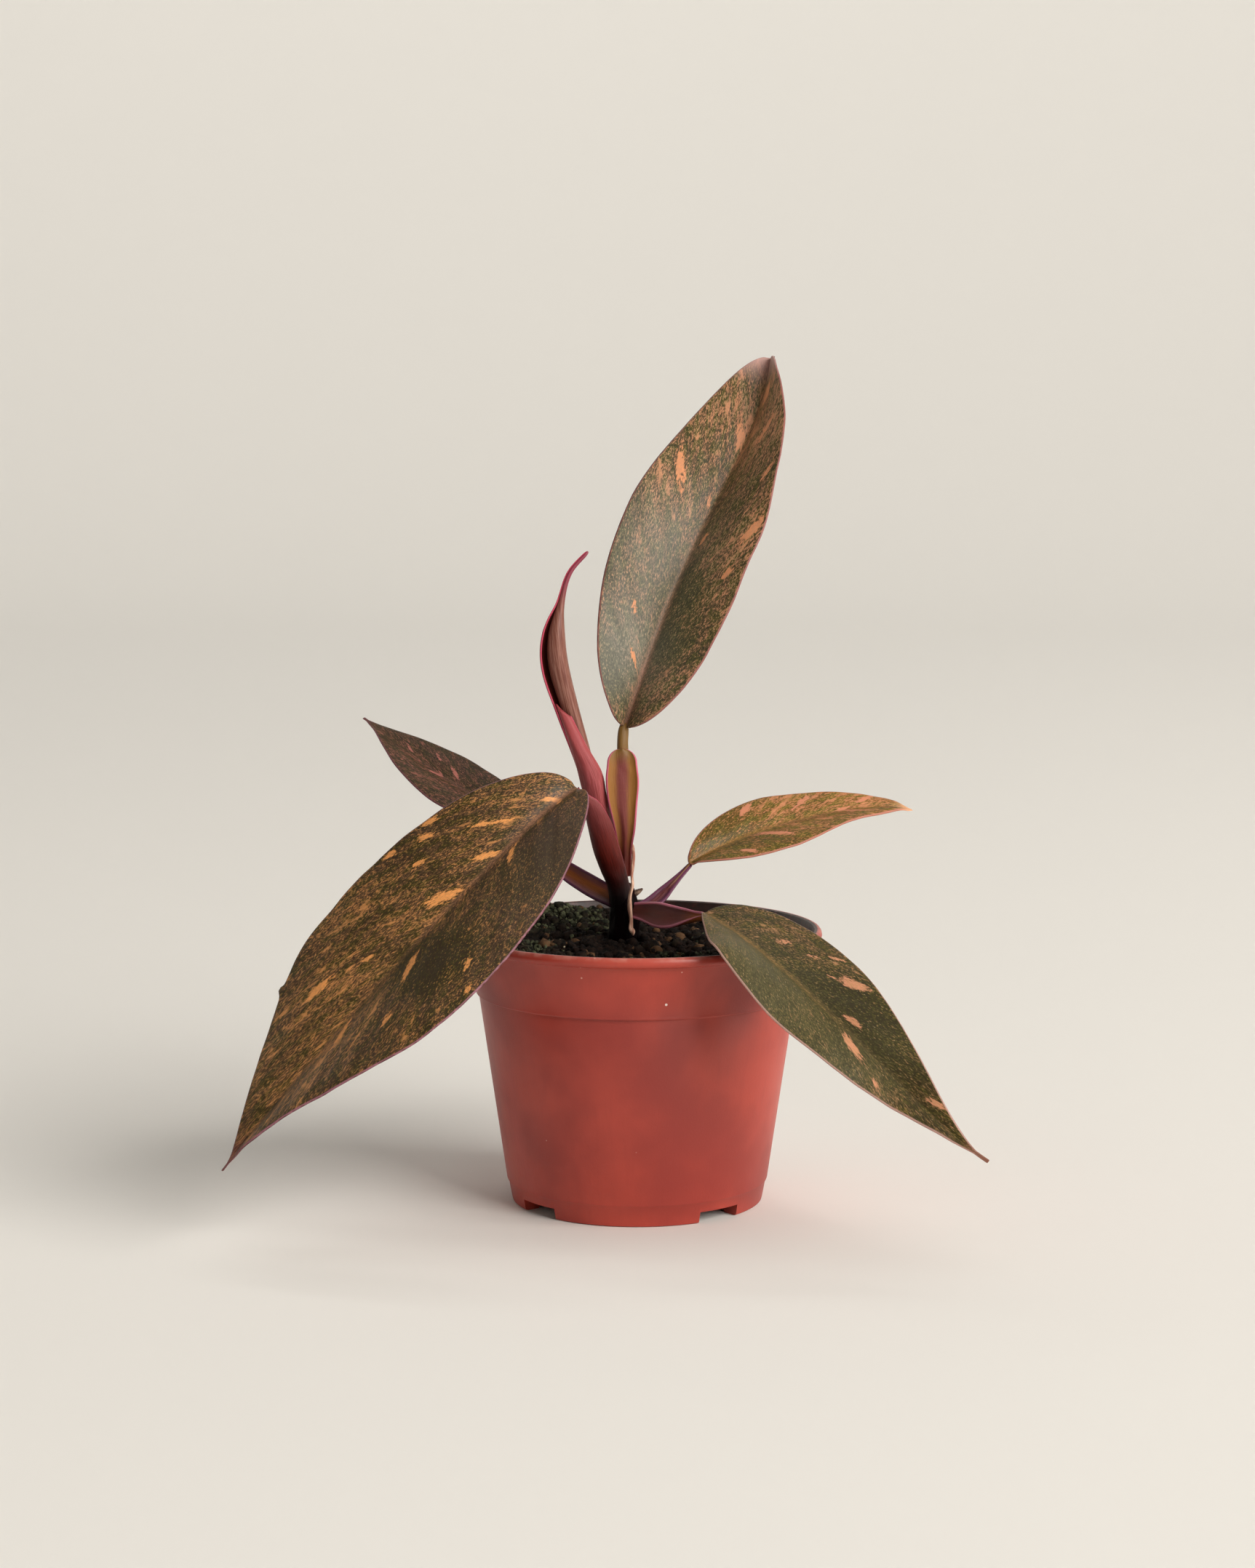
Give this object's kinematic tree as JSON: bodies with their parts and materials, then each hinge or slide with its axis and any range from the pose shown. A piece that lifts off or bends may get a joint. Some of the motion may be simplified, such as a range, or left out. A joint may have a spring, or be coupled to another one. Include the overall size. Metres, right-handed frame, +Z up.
{
  "type": "potted orange princess philodendron",
  "caption": "Young variegated aroid in a small tapered nursery pot of soil, with open pointed leaves on sheathed stalks and a rolled new leaf.",
  "frame": {"origin": "middle of the pot's base, on the surface that it stands on", "axes": "+Z up, +X to the right and +Y to the back as the plant faces the viewer"},
  "size_m": [0.1148, 0.0814, 0.1373],
  "materials": {
    "pot": "satin moulded terracotta-red plastic",
    "soil": "damp crumbly potting mix with moss",
    "stem": "smooth, waxy, dark maroon",
    "top_petiole": "smooth, waxy, olive gold with pink margins",
    "sheath": "thin, waxy, rose pink",
    "new_leaf": "smooth, waxy, maroon to dusty pink",
    "dried_strand": "dry, dull, beige",
    "leaf": "satin olive green flecked with orange and pink",
    "pale_leaf": "satin light olive streaked with salmon"
  },
  "bodies": {
    "root": {"pot": "pot", "soil": "soil", "stem": "stem", "top_petiole": "top_petiole", "new_leaf_sheath": "sheath", "new_leaf": "new_leaf", "dried_strand": "dried_strand", "top_leaf": "leaf", "left_leaf": "leaf", "front_right_leaf": "leaf", "back_right_leaf": "pale_leaf", "back_left_leaf": "leaf"}
  },
  "joints": []
}
